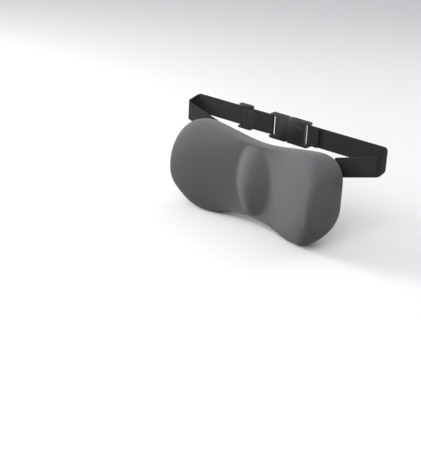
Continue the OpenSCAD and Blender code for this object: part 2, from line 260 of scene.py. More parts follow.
def makeKnitGroup():
    # columns of small V-shaped loops
    group, given, out = newGroup(
        "knitLoops", "ShaderNodeTree",
        [("Coordinates", "NodeSocketVector", None), ("Loop Width", "NodeSocketFloat", 0.0011),
         ("Loop Height", "NodeSocketFloat", 0.0009), ("Slant", "NodeSocketFloat", 0.7)],
        [("Height", "NodeSocketFloat"), ("Gap", "NodeSocketFloat")],
    )
    split = addNode(group, "ShaderNodeSeparateXYZ", {0: given["Coordinates"]}).outputs
    column = calc(group, "DIVIDE", split[0], given["Loop Width"])
    row = calc(group, "DIVIDE", split[1], given["Loop Height"])
    inColumn = calc(group, "FRACT", column)
    fromMiddle = calc(group, "ABSOLUTE", calc(group, "SUBTRACT", inColumn, 0.5))
    slanted = calc(group, "MULTIPLY_ADD", fromMiddle, given["Slant"], row)
    across = calc(group, "SINE", calc(group, "MULTIPLY", inColumn, 2 * math.pi))
    across = calc(group, "ABSOLUTE", across)
    along = calc(group, "SINE", calc(group, "MULTIPLY", slanted, 2 * math.pi))
    along = calc(group, "MULTIPLY_ADD", along, 0.5, 0.5)
    height = calc(group, "MULTIPLY", calc(group, "POWER", across, 0.6), along)
    group.links.new(height, out["Height"])
    # the gaps' mask, which the materials use for painted shade between the loops
    group.links.new(calc(group, "SUBTRACT", 1.0, height), out["Gap"])
    return group


def makeMottleGroup():
    # slow and fine variation of a dyed or moulded surface
    group, given, out = newGroup(
        "mottle", "ShaderNodeTree",
        [("Coordinates", "NodeSocketVector", None), ("Broad Scale", "NodeSocketFloat", 18.0),
         ("Fine Scale", "NodeSocketFloat", 420.0)],
        [("Broad", "NodeSocketFloat"), ("Fine", "NodeSocketFloat"), ("Both", "NodeSocketFloat")],
    )
    broad = addNode(group, "ShaderNodeTexNoise",
                    {"Vector": given["Coordinates"], "Scale": given["Broad Scale"], "Detail": 3.0})
    fine = addNode(group, "ShaderNodeTexNoise",
                   {"Vector": given["Coordinates"], "Scale": given["Fine Scale"], "Detail": 2.0})
    group.links.new(broad.outputs[0], out["Broad"])
    group.links.new(fine.outputs[0], out["Fine"])
    both = calc(group, "MULTIPLY", calc(group, "ADD", broad.outputs[0], fine.outputs[0]), 0.5)
    group.links.new(both, out["Both"])
    return group


def makeLintGroup():
    # sparse pale fibres and dust caught on a surface
    group, given, out = newGroup(
        "lint", "ShaderNodeTree",
        [("Coordinates", "NodeSocketVector", None), ("Scale", "NodeSocketFloat", 260.0),
         ("Amount", "NodeSocketFloat", 0.12)],
        [("Mask", "NodeSocketFloat")],
    )
    cells = addNode(group, "ShaderNodeTexVoronoi",
                    {"Vector": given["Coordinates"], "Scale": given["Scale"], "Randomness": 1.0},
                    feature="F1")
    speck = calc(group, "LESS_THAN", cells.outputs["Distance"], 0.16)
    patches = addNode(group, "ShaderNodeTexNoise",
                      {"Vector": given["Coordinates"], "Scale": 9.0, "Detail": 2.0})
    patchy = calc(group, "GREATER_THAN", patches.outputs[0], 0.55)
    mask = calc(group, "MULTIPLY", calc(group, "MULTIPLY", speck, patchy), given["Amount"])
    group.links.new(mask, out["Mask"])
    return group


def makeEdgeGroup():
    # worn convex edges
    group, given, out = newGroup(
        "edgeWear", "ShaderNodeTree",
        [("Coordinates", "NodeSocketVector", None), ("Start", "NodeSocketFloat", 0.52),
         ("Full", "NodeSocketFloat", 0.62), ("Amount", "NodeSocketFloat", 1.0)],
        [("Mask", "NodeSocketFloat")],
    )
    shape = addNode(group, "ShaderNodeNewGeometry")
    ramp = addNode(group, "ShaderNodeMapRange",
                   {"Value": shape.outputs["Pointiness"], "From Min": given["Start"],
                    "From Max": given["Full"]})
    scuff = addNode(group, "ShaderNodeTexNoise",
                    {"Vector": given["Coordinates"], "Scale": 300.0, "Detail": 4.0})
    worn = calc(group, "MULTIPLY", ramp.outputs[0], scuff.outputs[0])
    group.links.new(calc(group, "MULTIPLY", worn, given["Amount"]), out["Mask"])
    return group


knitGroup = makeKnitGroup()
mottleGroup = makeMottleGroup()
lintGroup = makeLintGroup()
edgeGroup = makeEdgeGroup()


# materials

def startMaterial(name, constants):
    material = bpy.data.materials.new(name)
    material.use_nodes = True
    tree = material.node_tree
    shader = tree.nodes["Principled BSDF"]
    for label, value in constants.items():
        shader.inputs[label].default_value = value
    return material, tree, shader


def useGroup(tree, group, inputs):
    return addNode(tree, "ShaderNodeGroup", inputs, node_tree=group).outputs


def setRoughness(tree, shader, value, first, last):
    ramp = addNode(tree, "ShaderNodeMapRange", {"Value": value, "To Min": first, "To Max": last})
    tree.links.new(ramp.outputs[0], shader.inputs["Roughness"])


def addBump(tree, shader, height, distance, strength=1.0):
    bump = addNode(tree, "ShaderNodeBump",
                   {"Height": height, "Distance": distance, "Strength": strength})
    tree.links.new(bump.outputs[0], shader.inputs["Normal"])


def yarnColour(tree, shader, s, objectSpace, cloth):
    # loops with painted shade in the gaps between them, uneven dye and a little lint; returns the loops and
    # the unevenness
    knit = useGroup(tree, knitGroup, {
        "Coordinates": cloth, "Loop Width": s["loopWidth"],
        "Loop Height": s["loopHeight"], "Slant": s["slant"],
    })
    mottle = useGroup(tree, mottleGroup, {"Coordinates": objectSpace, "Fine Scale": s["fineScale"]})
    lint = useGroup(tree, lintGroup, {"Coordinates": objectSpace, "Amount": s["lint"]})
    yarn = blendColours(tree, mottle["Both"], s["dark"], s["light"])
    # painted shade: the gaps between the loops are darkened towards the gap colour
    shade = calc(tree, "MULTIPLY", knit["Gap"], s["gapShade"])
    yarn = blendColours(tree, shade, yarn, s["gapShadeColour"])
    yarn = blendColours(tree, lint["Mask"], yarn, s["lintColour"])
    tree.links.new(yarn, shader.inputs["Base Color"])
    return knit, mottle


def fabricMaterial(name, s):
    # knitted or woven cloth, on the piece's own cloth map where it has one
    material, tree, shader = startMaterial(name, s["constants"])
    objectSpace = addNode(tree, "ShaderNodeTexCoord").outputs["Object"]
    if s["clothMap"]:
        cloth = addNode(tree, "ShaderNodeUVMap", None, uv_map=s["clothMap"]).outputs[0]
    else:
        # stands the pattern upright, in the X and Z of the piece
        cloth = addNode(tree, "ShaderNodeMapping",
                        {"Vector": objectSpace, "Rotation": (-math.pi / 2, 0, 0)}).outputs[0]
    knit, mottle = yarnColour(tree, shader, s, objectSpace, cloth)
    setRoughness(tree, shader, mottle["Fine"], s["roughLow"], s["roughHigh"])
    height = calc(tree, "MULTIPLY_ADD", mottle["Fine"], 0.35, knit["Height"])
    addBump(tree, shader, height, s["bump"])
    return material


coverFabric = fabricMaterial("stretchKnit", {
    "constants": {"Sheen Weight": 0.18, "Sheen Roughness": 0.45, "Specular IOR Level": 0.25},
    "clothMap": "cloth",
    "loopWidth": 0.0011, "loopHeight": 0.0009, "slant": 0.7,
    "dark": (0.116, 0.121, 0.124), "light": (0.150, 0.156, 0.160),
    "gapShadeColour": (0.060, 0.063, 0.065), "gapShade": 0.35,
    "lintColour": (0.34, 0.35, 0.36), "lint": 0.10, "fineScale": 900.0,
    "roughLow": 0.72, "roughHigh": 0.92, "bump": 0.00012,
})

backFabric = fabricMaterial("backMesh", {
    "constants": {"Sheen Weight": 0.12, "Sheen Roughness": 0.5, "Specular IOR Level": 0.3},
    "clothMap": "cloth",
    "loopWidth": 0.0034, "loopHeight": 0.0028, "slant": 1.0,
    "dark": (0.018, 0.019, 0.020), "light": (0.036, 0.038, 0.040),
    "gapShadeColour": (0.004, 0.004, 0.005), "gapShade": 0.85,
    "lintColour": (0.20, 0.20, 0.20), "lint": 0.16, "fineScale": 700.0,
    "roughLow": 0.68, "roughHigh": 0.9, "bump": 0.0005,
})

linerFabric = fabricMaterial("linerTricot", {
    "constants": {"Sheen Weight": 0.1, "Specular IOR Level": 0.3},
    "clothMap": "cloth",
    "loopWidth": 0.0008, "loopHeight": 0.0007, "slant": 0.6,
    "dark": (0.62, 0.62, 0.60), "light": (0.74, 0.74, 0.72),
    "gapShadeColour": (0.40, 0.40, 0.39), "gapShade": 0.3,
    "lintColour": (0.8, 0.8, 0.8), "lint": 0.05, "fineScale": 800.0,
    "roughLow": 0.75, "roughHigh": 0.9, "bump": 0.0001,
})

tapeFabric = fabricMaterial("zipTape", {
    "constants": {"Sheen Weight": 0.1, "Specular IOR Level": 0.35},
    "clothMap": None,
    "loopWidth": 0.0007, "loopHeight": 0.0007, "slant": 1.6,
    "dark": (0.012, 0.012, 0.013), "light": (0.026, 0.026, 0.028),
    "gapShadeColour": (0.004, 0.004, 0.004), "gapShade": 0.6,
    "lintColour": (0.2, 0.2, 0.2), "lint": 0.1, "fineScale": 700.0,
    "roughLow": 0.6, "roughHigh": 0.85, "bump": 0.0001,
})


def elasticMaterial(name, s):
    # ribbed knitted elastic, read along and across the band
    material, tree, shader = startMaterial(name, s["constants"])
    objectSpace = addNode(tree, "ShaderNodeTexCoord").outputs["Object"]
    along = addNode(tree, "ShaderNodeAttribute", None, attribute_name="along").outputs["Fac"]
    across = addNode(tree, "ShaderNodeAttribute", None, attribute_name="across").outputs["Fac"]
    cloth = addNode(tree, "ShaderNodeCombineXYZ", {0: across, 1: along}).outputs[0]
    knit = yarnColour(tree, shader, s, objectSpace, cloth)[0]
    setRoughness(tree, shader, knit["Height"], s["roughHigh"], s["roughLow"])
    addBump(tree, shader, knit["Height"], s["bump"])
    return material


elastic = elasticMaterial("blackElastic", {
    "constants": {"Sheen Weight": 0.08, "Sheen Roughness": 0.4, "Specular IOR Level": 0.35},
    "loopWidth": 0.00173, "loopHeight": 0.0011, "slant": 0.9,
    "dark": (0.010, 0.010, 0.011), "light": (0.020, 0.020, 0.021),
    "gapShadeColour": (0.004, 0.004, 0.004), "gapShade": 0.7,
    "lintColour": (0.16, 0.16, 0.16), "lint": 0.12, "fineScale": 900.0,
    "roughLow": 0.55, "roughHigh": 0.85, "bump": 0.00018,
})


def mouldedMaterial(name, s):
    # moulded plastic, cast metal or foam: grain, worn edges and a little dust
    material, tree, shader = startMaterial(name, s["constants"])
    objectSpace = addNode(tree, "ShaderNodeTexCoord").outputs["Object"]
    mottle = useGroup(tree, mottleGroup, {
        "Coordinates": objectSpace, "Broad Scale": s["broadScale"], "Fine Scale": s["fineScale"],
    })
    wear = useGroup(tree, edgeGroup, {"Coordinates": objectSpace, "Amount": s["wear"]})
    lint = useGroup(tree, lintGroup, {"Coordinates": objectSpace, "Scale": 700.0, "Amount": s["lint"]})
    colour = blendColours(tree, mottle["Both"], s["dark"], s["light"])
    colour = blendColours(tree, wear["Mask"], colour, s["wornColour"])
    colour = blendColours(tree, lint["Mask"], colour, s["lintColour"])
    tree.links.new(colour, shader.inputs["Base Color"])
    setRoughness(tree, shader, mottle["Both"], s["roughLow"], s["roughHigh"])
    addBump(tree, shader, mottle["Fine"], s["bump"])
    return material


bucklePlastic = mouldedMaterial("bucklePlastic", {
    "constants": {"Specular IOR Level": 0.5, "Coat Weight": 0.04},
    "broadScale": 40.0, "fineScale": 2600.0, "wear": 0.5, "lint": 0.25,
    "dark": (0.011, 0.011, 0.012), "light": (0.017, 0.017, 0.018),
    "wornColour": (0.07, 0.07, 0.072), "lintColour": (0.18, 0.18, 0.18),
    "roughLow": 0.36, "roughHigh": 0.52, "bump": 0.00004,
})

zipMetal = mouldedMaterial("zipMetal", {
    "constants": {"Metallic": 1.0},
    "broadScale": 60.0, "fineScale": 1800.0, "wear": 0.8, "lint": 0.1,
    "dark": (0.33, 0.33, 0.34), "light": (0.46, 0.46, 0.47),
    "wornColour": (0.72, 0.72, 0.73), "lintColour": (0.2, 0.2, 0.2),
    "roughLow": 0.24, "roughHigh": 0.42, "bump": 0.00002,
})

zipNylon = mouldedMaterial("zipNylon", {
    "constants": {"Specular IOR Level": 0.5},
    "broadScale": 60.0, "fineScale": 2400.0, "wear": 0.3, "lint": 0.1,
    "dark": (0.012, 0.012, 0.013), "light": (0.022, 0.022, 0.023),
    "wornColour": (0.05, 0.05, 0.05), "lintColour": (0.16, 0.16, 0.16),
    "roughLow": 0.3, "roughHigh": 0.45, "bump": 0.00002,
})

foamMaterial = mouldedMaterial("foamSkin", {
    "constants": {"Specular IOR Level": 0.25},
    "broadScale": 25.0, "fineScale": 1100.0, "wear": 0.0, "lint": 0.0,
    "dark": (0.66, 0.60, 0.44), "light": (0.82, 0.78, 0.62),
    "wornColour": (0.8, 0.8, 0.7), "lintColour": (0.8, 0.8, 0.7),
    "roughLow": 0.75, "roughHigh": 0.95, "bump": 0.0004,
})

sewingThread = mouldedMaterial("sewingThread", {
    "constants": {"Specular IOR Level": 0.4, "Sheen Weight": 0.2},
    "broadScale": 80.0, "fineScale": 2800.0, "wear": 0.0, "lint": 0.0,
    "dark": (0.085, 0.087, 0.090), "light": (0.150, 0.153, 0.157),
    "wornColour": (0.1, 0.1, 0.1), "lintColour": (0.1, 0.1, 0.1),
    "roughLow": 0.5, "roughHigh": 0.75, "bump": 0.00006,
})
print("materials ready")


# geometry node trees for what repeats or follows a path

def makeRepeatTree():
    # sets one unit shape at even spaces along each path
    tree, given, out = newGroup(
        "repeatAlongPath", "GeometryNodeTree",
        [("Path", "NodeSocketGeometry", None), ("Unit", "NodeSocketObject", None),
         ("Spacing", "NodeSocketFloat", 0.003), ("Up", "NodeSocketVector", (0, 1, 0)),
         ("Unevenness", "NodeSocketFloat", 0.03), ("Seed", "NodeSocketInt", 4),
         ("Material", "NodeSocketMaterial", None)],
        [("Geometry", "NodeSocketGeometry")],
    )
    curve = addNode(tree, "GeometryNodeMeshToCurve", {"Mesh": given["Path"]}).outputs[0]
    spots = addNode(tree, "GeometryNodeCurveToPoints",
                    {"Curve": curve, "Length": given["Spacing"]}, mode="LENGTH").outputs
    forward = addNode(tree, "FunctionNodeAlignRotationToVector",
                      {"Vector": spots["Tangent"]}, axis="X").outputs[0]
    upright = addNode(tree, "FunctionNodeAlignRotationToVector",
                      {"Rotation": forward, "Vector": given["Up"]},
                      axis="Z", pivot_axis="X").outputs[0]
    limit = given["Unevenness"]
    least = calc(tree, "MULTIPLY", limit, -1.0)
    sway = addNode(tree, "FunctionNodeRandomValue",
                   {2: least, 3: limit, "Seed": given["Seed"]}, data_type="FLOAT").outputs[1]
    swayTurn = addNode(tree, "ShaderNodeCombineXYZ", {2: sway}).outputs[0]
    turned = addNode(tree, "FunctionNodeRotateRotation",
                     {"Rotation": upright, "Rotate By": swayTurn}, rotation_space="LOCAL").outputs[0]
    unit = addNode(tree, "GeometryNodeObjectInfo", {"Object": given["Unit"]}).outputs["Geometry"]
    placed = addNode(tree, "GeometryNodeInstanceOnPoints",
                     {"Points": spots["Points"], "Instance": unit, "Rotation": turned}).outputs[0]
    real = addNode(tree, "GeometryNodeRealizeInstances", {"Geometry": placed}).outputs[0]
    done = addNode(tree, "GeometryNodeSetMaterial",
                   {"Geometry": real, "Material": given["Material"]}).outputs[0]
    tree.links.new(done, out["Geometry"])
    return tree


def makeBandTree():
    # a flat ribbed band with rounded selvedges, standing upright along its path
    tree, given, out = newGroup(
        "ribbedBand", "GeometryNodeTree",
        [("Path", "NodeSocketGeometry", None), ("Width", "NodeSocketFloat", 0.038),
         ("Thickness", "NodeSocketFloat", 0.0014), ("Ribs", "NodeSocketInt", 22),
         ("Rib Height", "NodeSocketFloat", 0.00018), ("Material", "NodeSocketMaterial", None)],
        [("Geometry", "NodeSocketGeometry")],
    )
    curve = addNode(tree, "GeometryNodeMeshToCurve", {"Mesh": given["Path"]}).outputs[0]
    # the path is laid flat, and the band is lifted back afterwards, so that its width stays upright
    spot = addNode(tree, "GeometryNodeInputPosition").outputs[0]
    rise = addNode(tree, "ShaderNodeSeparateXYZ", {0: spot}).outputs[2]
    curve = addNode(tree, "GeometryNodeStoreNamedAttribute",
                    {"Geometry": curve, "Name": "rise", "Value": rise},
                    data_type="FLOAT", domain="POINT").outputs[0]
    level = addNode(tree, "ShaderNodeVectorMath", {0: spot, 1: (1, 1, 0)},
                    operation="MULTIPLY").outputs[0]
    curve = addNode(tree, "GeometryNodeSetPosition", {"Geometry": curve, "Position": level}).outputs[0]
    curve = addNode(tree, "GeometryNodeSetCurveNormal", {"Curve": curve}, mode="Z_UP").outputs[0]
    length = addNode(tree, "GeometryNodeSplineParameter").outputs["Length"]
    curve = addNode(tree, "GeometryNodeStoreNamedAttribute",
                    {"Geometry": curve, "Name": "along", "Value": length},
                    data_type="FLOAT", domain="POINT").outputs[0]
    around = calc(tree, "MULTIPLY", given["Ribs"], 8.0)
    loop = addNode(tree, "GeometryNodeCurvePrimitiveCircle",
                   {"Resolution": around, "Radius": 1.0}, mode="RADIUS").outputs[0]
    index = addNode(tree, "GeometryNodeInputIndex").outputs[0]
    twice = calc(tree, "MULTIPLY", calc(tree, "DIVIDE", index, around), 2.0)
    side = calc(tree, "SUBTRACT", 1.0, calc(tree, "MULTIPLY", calc(tree, "FLOOR", twice), 2.0))
    share = calc(tree, "FRACT", twice)
    acrossShare = calc(tree, "MULTIPLY", side, calc(tree, "SUBTRACT", 0.5, share))
    across = calc(tree, "MULTIPLY", acrossShare, given["Width"])
    toEdge = calc(tree, "ABSOLUTE", calc(tree, "MULTIPLY", acrossShare, 2.0))
    edge = calc(tree, "SUBTRACT", 1.0, calc(tree, "POWER", toEdge, 24.0))
    edge = calc(tree, "SQRT", calc(tree, "MAXIMUM", edge, 0.0))
    turns = calc(tree, "MULTIPLY", calc(tree, "MULTIPLY", given["Ribs"], share), math.pi)
    rib = calc(tree, "ABSOLUTE", calc(tree, "SINE", turns))
    lowered = calc(tree, "MULTIPLY", calc(tree, "SUBTRACT", 1.0, rib), given["Rib Height"])
    halfThick = calc(tree, "MULTIPLY", given["Thickness"], 0.5)
    raised = calc(tree, "MULTIPLY", calc(tree, "SUBTRACT", halfThick, lowered), edge)
    offset = calc(tree, "MULTIPLY", raised, side)
    place = addNode(tree, "ShaderNodeCombineXYZ", {0: offset, 1: across}).outputs[0]
    loop = addNode(tree, "GeometryNodeSetPosition", {"Geometry": loop, "Position": place}).outputs[0]
    loop = addNode(tree, "GeometryNodeStoreNamedAttribute",
                   {"Geometry": loop, "Name": "across", "Value": across},
                   data_type="FLOAT", domain="POINT").outputs[0]
    band = addNode(tree, "GeometryNodeCurveToMesh",
                   {"Curve": curve, "Profile Curve": loop, "Fill Caps": True}).outputs[0]
    stored = addNode(tree, "GeometryNodeInputNamedAttribute", {"Name": "rise"},
                     data_type="FLOAT").outputs[0]
    lift = addNode(tree, "ShaderNodeCombineXYZ", {2: stored}).outputs[0]
    band = addNode(tree, "GeometryNodeSetPosition", {"Geometry": band, "Offset": lift}).outputs[0]
    real = addNode(tree, "GeometryNodeRealizeInstances", {"Geometry": band}).outputs[0]
    done = addNode(tree, "GeometryNodeSetMaterial",
                   {"Geometry": real, "Material": given["Material"]}).outputs[0]
    tree.links.new(done, out["Geometry"])
    return tree


repeatTree = makeRepeatTree()
bandTree = makeBandTree()


def grow(name, paths, tree, inputs):
    # paths: lists of points; the tree's result becomes the piece's plain mesh
    points, edges = [], []
    for path in paths:
        first = len(points)
        points += path
        edges += [(first + i, first + i + 1) for i in range(len(path) - 1)]
    piece = meshPiece(name, points, edges=edges)
    modifier = piece.modifiers.new("grow", "NODES")
    modifier.node_group = tree
    names = {item.name: item.identifier for item in tree.interface.items_tree
             if item.in_out == "INPUT"}
    for label, value in inputs.items():
        modifier[names[label]] = value
    return settle(piece)


def lathedBar(name, ringPoint, rings):
    # a closed bar of six-sided rings; ringPoint(ring, turn) gives each point
    sides = 6
    points = [ringPoint(ring, math.tau * k / sides) for ring in rings for k in range(sides)]
    faces = []
    for r in range(len(rings) - 1):
        for k in range(sides):
            a, b = r * sides + k, r * sides + (k + 1) % sides
            faces.append((a, b, b + sides, a + sides))
    lastRing = (len(rings) - 1) * sides
    faces += [tuple(range(sides)), tuple(range(lastRing, lastRing + sides))]
    return faceOutwards(meshPiece(name, points, faces))


def unitShape(name, size):
    # a small bead, longest along X, rising along Z; each ring: where, how wide, how far lifted
    long, wide, tall = size
    rings = [(-1.0, 0.35, 0.0), (-0.72, 0.85, 0.6), (0.0, 1.0, 1.0), (0.72, 0.85, 0.6), (1.0, 0.35, 0.0)]

    def ringPoint(ring, turn):
        along, swell, lift = ring
        return (along * long / 2, math.cos(turn) * wide / 2 * swell,
                tall * (0.5 * math.sin(turn) * swell + 0.35 * lift))

    return lathedBar(name, ringPoint, rings)


# form of the cushion

cushionShape = {
    "halfWidth": 0.173,
    "wingHeight": 0.178, "waistHeight": 0.147,
    "wingDepth": 0.111, "middleDepth": 0.052, "wingAt": 0.150,
    "flankEnd": 0.165, "flankCurve": 0.35, "flankShare": 0.6,  # the front keeps rising up to the ends
    "ridgeRise": 0.029, "ridgeHalfWidth": 0.039, "ridgeHalfHeight": 0.068, "ridgePower": 1.4,
    "ridgeEndPower": 0.8,
    "tallestDepth": 0.060, "frontPower": 2.2, "backRound": 0.035,
    "endReach": 0.048, "endDrop": 0.038, "endFrontRound": 0.008, "endBackRound": 0.022,
    "backFlat": 0.137,
    "lowFull": 0.006, "lowFullAt": 0.086, "lowFullReach": 0.030,  # the wings' fuller undersides
    "lowTuck": 0.012, "lowTuckFrom": 0.118, "lowBackTuck": 0.014,
    "endBulge": 0.004,
    "endSlant": 0.004, "endSlantFrom": 0.105, "endSlantDepth": 0.045,  # the ends lean in at the front
    "middleStations": 28, "endStations": 7,
    "backSteps": 14, "frontSteps": 44, "flatSteps": 18,
}


def ease(u):
    u = min(1.0, max(0.0, u))
    return u * u * (3 - 2 * u)


def roundIn(x, reach):
    q = min(1.0, max(0.0, (abs(x) - cushionShape["halfWidth"] + reach) / reach))
    return 1 - math.sqrt(1 - q * q)


def halfHeight(x):
    s = cushionShape
    rise = (s["wingHeight"] - s["waistHeight"]) / 2 * ease(abs(x) / s["wingAt"])
    return s["waistHeight"] / 2 + rise - s["endDrop"] * roundIn(x, s["endReach"])


def flatHalfHeight(x):
    return halfHeight(x) - cushionShape["backRound"]


def ridgeRise(x, z):
    s = cushionShape
    tall = max(0.0, 1 - (z / s["ridgeHalfHeight"]) ** 2) ** s["ridgeEndPower"]
    spread = s["ridgeHalfWidth"] * (0.4 + 0.6 * tall)
    return s["ridgeRise"] * tall * max(0.0, 1 - (x / spread) ** 2) ** s["ridgePower"]


def evenly(line, count):
    # the same line with its points at even distances
    line = np.array(line)
    run = np.concatenate([[0], np.cumsum(np.linalg.norm(np.diff(line, axis=0), axis=1))])
    marks = np.linspace(0, run[-1], count + 1)
    return np.stack([np.interp(marks, run, line[:, k]) for k in range(2)], axis=1)


def flankRise(x):
    # 0 at the waist, 1 at the wings
    s = cushionShape
    c = s["flankCurve"]
    steady = (math.hypot(min(1.0, x / s["flankEnd"]), c) - c) / (math.hypot(1, c) - c)
    return ease(x / s["wingAt"]) * (1 - s["flankShare"]) + steady * s["flankShare"]


def ringAt(x, inset):
    # depth and height of one upright section, from the flat back's lower edge round the front
    s = cushionShape
    ax = abs(x)
    full = s["lowFull"] * math.exp(-(((ax - s["lowFullAt"]) / s["lowFullReach"]) ** 2))
    tuck = s["lowTuck"] * ease((ax - s["lowTuckFrom"]) / (s["halfWidth"] - s["lowTuckFrom"]))
    top = halfHeight(x) - inset
    low = halfHeight(x) + full - tuck - inset
    flat = flatHalfHeight(x)
    start = s["endBackRound"] * roundIn(x, s["halfWidth"] - s["backFlat"]) + inset
    depth = s["middleDepth"] + (s["wingDepth"] - s["middleDepth"]) * flankRise(ax)
    depth -= s["endFrontRound"] * roundIn(x, s["endFrontRound"]) + inset
    tallest = s["tallestDepth"]

    def backArc(height, edge):
        turns = np.linspace(0, math.pi / 2, 40)
        return [(tallest - (tallest - start) * math.sin(a), edge + (height - edge) * math.cos(a))
                for a in turns]

    front = []
    for a in np.linspace(-math.pi / 2, math.pi / 2, 161):
        height = top if a > 0 else low
        z = height * math.copysign(abs(math.sin(a)) ** (2 / s["frontPower"]), a)
        f = max(0.0, math.cos(a)) ** (2 / s["frontPower"])
        front.append((tallest + (depth - tallest) * f + ridgeRise(x, z) * min(1, 2 * f), z))
    lowFlat = flat - s["lowBackTuck"] * ease((ax - s["backFlat"]) / (s["halfWidth"] - s["backFlat"]))
    lower = [(p, -z) for p, z in reversed(backArc(low, lowFlat))]
    upper = backArc(top, flat)
    parts = [
        evenly(lower, s["backSteps"])[:-1], evenly(front, s["frontSteps"])[:-1],
        evenly(upper, s["backSteps"])[:-1],
        evenly([(start, flat), (start, -lowFlat)], s["flatSteps"])[:-1],
    ]
    return np.concatenate(parts)


def stations(inset):
    # pairs: where a ring stands, and the section it takes its form from
    s = cushionShape
    found = []
    for k in range(s["middleStations"] + 1):
        x = s["backFlat"] * (k / s["middleStations"]) ** 1.25
        found.append((x, x))
    for k in range(1, s["endStations"] + 1):
        turn = math.sin(math.pi / 2 * k / s["endStations"])
        room = s["halfWidth"] - s["backFlat"]
        found.append((s["backFlat"] + (room - inset) * turn, s["backFlat"] + room * turn))
    return [(-a, -b) for a, b in reversed(found[1:])] + found


def cushionForm(name, inset):
    # closed form with a cloth map in metres; returns the piece and its flat back's points
    s = cushionShape
    places = stations(inset)
    rings = []
    for x, shapeX in places:
        ring = ringAt(shapeX, inset)
        share = ease((abs(shapeX) - s["endSlantFrom"]) / (s["halfWidth"] - s["endSlantFrom"]))
        forward = (ring[:, 0] - s["endSlantDepth"]) / (s["wingDepth"] - s["endSlantDepth"])
        lean = math.copysign(s["endSlant"] * share, x) * np.clip(forward, 0, 1)
        rings.append(np.stack([x - lean, -ring[:, 0], ring[:, 1]], axis=1))
    grid = np.array(rings)
    count, around = grid.shape[:2]
    middle = count // 2
    frontMiddle = s["backSteps"] + s["frontSteps"] // 2
    stepU = np.linalg.norm(np.diff(grid, axis=0), axis=2)
    u = np.concatenate([np.zeros((1, around)), np.cumsum(stepU, axis=0)])
    u -= u[middle]
    wrapped = np.concatenate([grid, grid[:, :1]], axis=1)
    stepV = np.linalg.norm(np.diff(wrapped, axis=1), axis=2)
    v = np.concatenate([np.zeros((count, 1)), np.cumsum(stepV, axis=1)], axis=1)
    v -= v[:, frontMiddle:frontMiddle + 1]
    points = grid.reshape(-1, 3).tolist()
    faces, maps = [], []
    for i in range(count - 1):
        for j in range(around):
            k = (j + 1) % around
            near, far = i * around, (i + 1) * around
            faces.append((near + j, near + k, far + k, far + j))
            maps.append([(u[i, j], v[i, j]), (u[i, k], v[i, j + 1]),
                         (u[i + 1, k], v[i + 1, j + 1]), (u[i + 1, j], v[i + 1, j])])
    side = s["backSteps"] + (s["frontSteps"] - s["flatSteps"]) // 2
    rows = s["flatSteps"]
    for station, sign in ((0, -1), (count - 1, 1)):
        ring, base = grid[station], station * around
        spot = {}
        low = [base + a for a in range(side + 1)]
        high = [base + 2 * side + rows - a for a in range(side + 1)]
        backSide = [base + (around - b) % around for b in range(rows + 1)]
        frontSide = [base + side + b for b in range(rows + 1)]
        for a in range(side + 1):
            spot[a, 0], spot[a, rows] = low[a], high[a]
        for b in range(rows + 1):
            spot[0, b], spot[side, b] = backSide[b], frontSide[b]
        at = lambda index: ring[index - base]
        for a in range(1, side):
            for b in range(1, rows):
                p, q = a / side, b / rows
                place = ((1 - q) * at(low[a]) + q * at(high[a])
                         + (1 - p) * at(backSide[b]) + p * at(frontSide[b])
                         - (1 - p) * (1 - q) * at(low[0]) - p * (1 - q) * at(low[side])
                         - (1 - p) * q * at(high[0]) - p * q * at(high[side]))
                swell = (16 * p * (1 - p) * q * (1 - q)) ** 1.5
                spot[a, b] = len(points)
                points.append([place[0] + sign * s["endBulge"] * swell, place[1], place[2]])
        for a in range(side):
            for b in range(rows):
                corner = (spot[a, b], spot[a + 1, b], spot[a + 1, b + 1], spot[a, b + 1])
                faces.append(corner)
                maps.append([(points[c][1], points[c][2]) for c in corner])
    piece = meshPiece(name, points, faces)
    setClothMap(piece, maps)
    faceOutwards(piece)
    firstFlat = 2 * s["backSteps"] + s["frontSteps"]
    flat = {i * around + j for i in range(s["endStations"], count - s["endStations"])
            for j in [0, *range(firstFlat, around)]}
    return piece, flat


# cover

coverSettings = {
    "startInset": 0.0022,
    "pressure": 4.0,
    "frames": 20,
    "swellLimit": 0.0030,
    "leastSwell": 0.0012,
    "thickness": 0.0012,
    "seamDip": 0.0011,
}


def inflate(piece, pinned, s):
    # short cloth run under inner pressure; points may move only as far as the limit
    group = piece.vertex_groups.new(name="pinned")
    group.add(sorted(pinned), 1.0, "REPLACE")
    before = np.array([v.co for v in piece.data.vertices])
    cloth = piece.modifiers.new("cloth", "CLOTH")
    settings = cloth.settings
    settings.quality = 6
    settings.mass = 0.25
    settings.tension_stiffness = settings.compression_stiffness = 22
    settings.shear_stiffness = 10
    settings.bending_stiffness = 4
    settings.use_pressure = True
    settings.uniform_pressure_force = s["pressure"]
    settings.vertex_group_mass = "pinned"
    settings.effector_weights.gravity = 0
    cloth.point_cache.frame_start, cloth.point_cache.frame_end = 1, s["frames"]
    for step in range(1, s["frames"] + 1):
        scene.frame_set(step)
    evaluated = piece.evaluated_get(bpy.context.evaluated_depsgraph_get())
    after = np.array([v.co for v in evaluated.data.vertices])
    piece.modifiers.remove(cloth)
    piece.vertex_groups.remove(group)
    normals = np.array([v.normal for v in piece.data.vertices])
    move = after - before
    outward = np.sum(move * normals, axis=1, keepdims=True)
    move += normals * (np.maximum(outward, s["leastSwell"]) - outward)
    far = np.linalg.norm(move, axis=1, keepdims=True)
    move *= np.minimum(1.0, s["swellLimit"] / np.maximum(far, 1e-9))
    print(f"cloth run moved points {far.mean() * 1000:.1f} mm on average")
    piece.data.vertices.foreach_set("co", (before + move).astype(np.float32).ravel())
    scene.frame_set(1)


